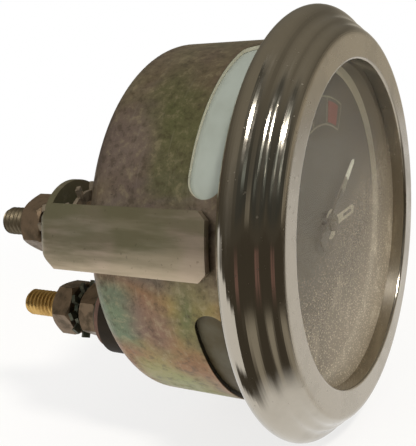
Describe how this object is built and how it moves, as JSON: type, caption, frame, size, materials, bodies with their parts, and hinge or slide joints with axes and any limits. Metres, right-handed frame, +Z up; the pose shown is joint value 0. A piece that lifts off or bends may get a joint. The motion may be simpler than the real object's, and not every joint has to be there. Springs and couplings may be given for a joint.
{
  "type": "panel temperature gauge",
  "caption": "Round panel gauge for engine water temperature: stepped chrome bezel, dark dial, zinc-plated can, U-shaped clamp and insulated stud terminals.",
  "frame": {"origin": "on the gauge's axis, in the plane where the bezel's rear lip meets the panel", "axes": "+Y back through the panel along the terminals, -Y out of the dial, +Z up with the dial upright, +X to the dial's right"},
  "size_m": [0.0606, 0.0485, 0.0606],
  "materials": {
    "bezel": "polished",
    "lens": "clear, lightly scratched",
    "seal": "matt",
    "spacer": "matt",
    "light_ring": "satin, translucent white",
    "dial": "matt",
    "case": "yellow passivated zinc",
    "pointer": "matt",
    "cap": "satin",
    "steel": "satin",
    "magnet": "matt",
    "brass": "satin",
    "white_plastic": "satin",
    "copper": "enamelled copper wire",
    "shield": "dull",
    "resistor": "matt",
    "fibre": "matt red fibre",
    "bush": "satin",
    "nuts": "dark bronzed",
    "washers": "tarnished",
    "clamp": "dull zinc",
    "studs": "bronzed"
  },
  "bodies": {
    "gauge": {"bezel": "bezel", "lens": "lens", "lens_seal": "seal", "spacer_ring": "spacer", "light_ring": "light_ring", "dial_plate": "dial", "case": "case", "bobbin": "white_plastic", "bobbin_cap": "white_plastic", "top_bush": "brass", "bottom_bush": "brass", "coil_a": "copper", "coil_b": "copper", "shield_cup": "shield", "movement_bridge": "steel", "stop_pins": "steel", "movement_plate": "steel", "plate_pillars": "brass", "dial_pillars": "brass", "movement_screws": "steel", "resistor": "resistor", "bus_links": "brass", "terminal_studs": "brass", "inner_insulators": "fibre", "terminal_bushes": "bush", "fibre_washers": "fibre", "small_washers": "washers", "fixing_nuts": "nuts", "clamp_studs": "studs", "clamp_thin_nuts": "nuts", "clamp_tooth_washers": "washers"},
    "needle": {"pointer": "pointer", "pointer_cap": "cap", "spindle": "steel", "rotor_magnet": "magnet", "stop_arm": "brass"},
    "wire_washer_left": {"lock_washer_left": "washers"},
    "wire_nut_left": {"wire_nut_left": "nuts"},
    "wire_washer_right": {"lock_washer_right": "washers"},
    "wire_nut_right": {"wire_nut_right": "nuts"},
    "clamp": {"clamp_bracket": "clamp", "clamp_spring_washers": "washers", "clamp_lock_washers": "washers"},
    "clamp_nut_left": {"clamp_nut_left": "nuts"},
    "clamp_nut_right": {"clamp_nut_right": "nuts"}
  },
  "joints": [
    {"name": "pointer_turn", "type": "hinge", "parent": "gauge", "child": "needle", "pos_m": [0, 0, 0], "axis": [0, -1, 0], "range_deg": [0, 108]},
    {"name": "wire_washer_left_slide", "type": "slide", "parent": "gauge", "child": "wire_washer_left", "axis": [0, 1, 0], "range_m": [0, 0.003]},
    {"name": "wire_nut_left_turn", "type": "hinge", "parent": "wire_washer_left", "child": "wire_nut_left", "pos_m": [-0.0142, 0.0325, -0.01209], "axis": [0, 1, 0], "range_deg": [0, 1543]},
    {"name": "wire_washer_right_slide", "type": "slide", "parent": "gauge", "child": "wire_washer_right", "axis": [0, 1, 0], "range_m": [0, 0.003]},
    {"name": "wire_nut_right_turn", "type": "hinge", "parent": "wire_washer_right", "child": "wire_nut_right", "pos_m": [0.0142, 0.0325, -0.01209], "axis": [0, 1, 0], "range_deg": [0, 1543]},
    {"name": "clamp_slide", "type": "slide", "parent": "gauge", "child": "clamp", "axis": [0, 1, 0], "range_m": [-0.0016, 0.003]},
    {"name": "clamp_nut_left_turn", "type": "hinge", "parent": "clamp", "child": "clamp_nut_left", "pos_m": [-0.02012, 0.0316, 0.00183], "axis": [0, 1, 0], "range_deg": [-823, 1543]},
    {"name": "clamp_nut_right_turn", "type": "hinge", "parent": "clamp", "child": "clamp_nut_right", "pos_m": [0.02012, 0.0316, -0.00183], "axis": [0, 1, 0], "range_deg": [-823, 1543]}
  ],
  "couplings": [
    {"joint": "wire_nut_left_turn", "follows": "wire_washer_left_slide", "rad_per_m": 8976},
    {"joint": "wire_nut_right_turn", "follows": "wire_washer_right_slide", "rad_per_m": 8976},
    {"joint": "clamp_nut_left_turn", "follows": "clamp_slide", "rad_per_m": 8976},
    {"joint": "clamp_nut_right_turn", "follows": "clamp_slide", "rad_per_m": 8976}
  ]
}
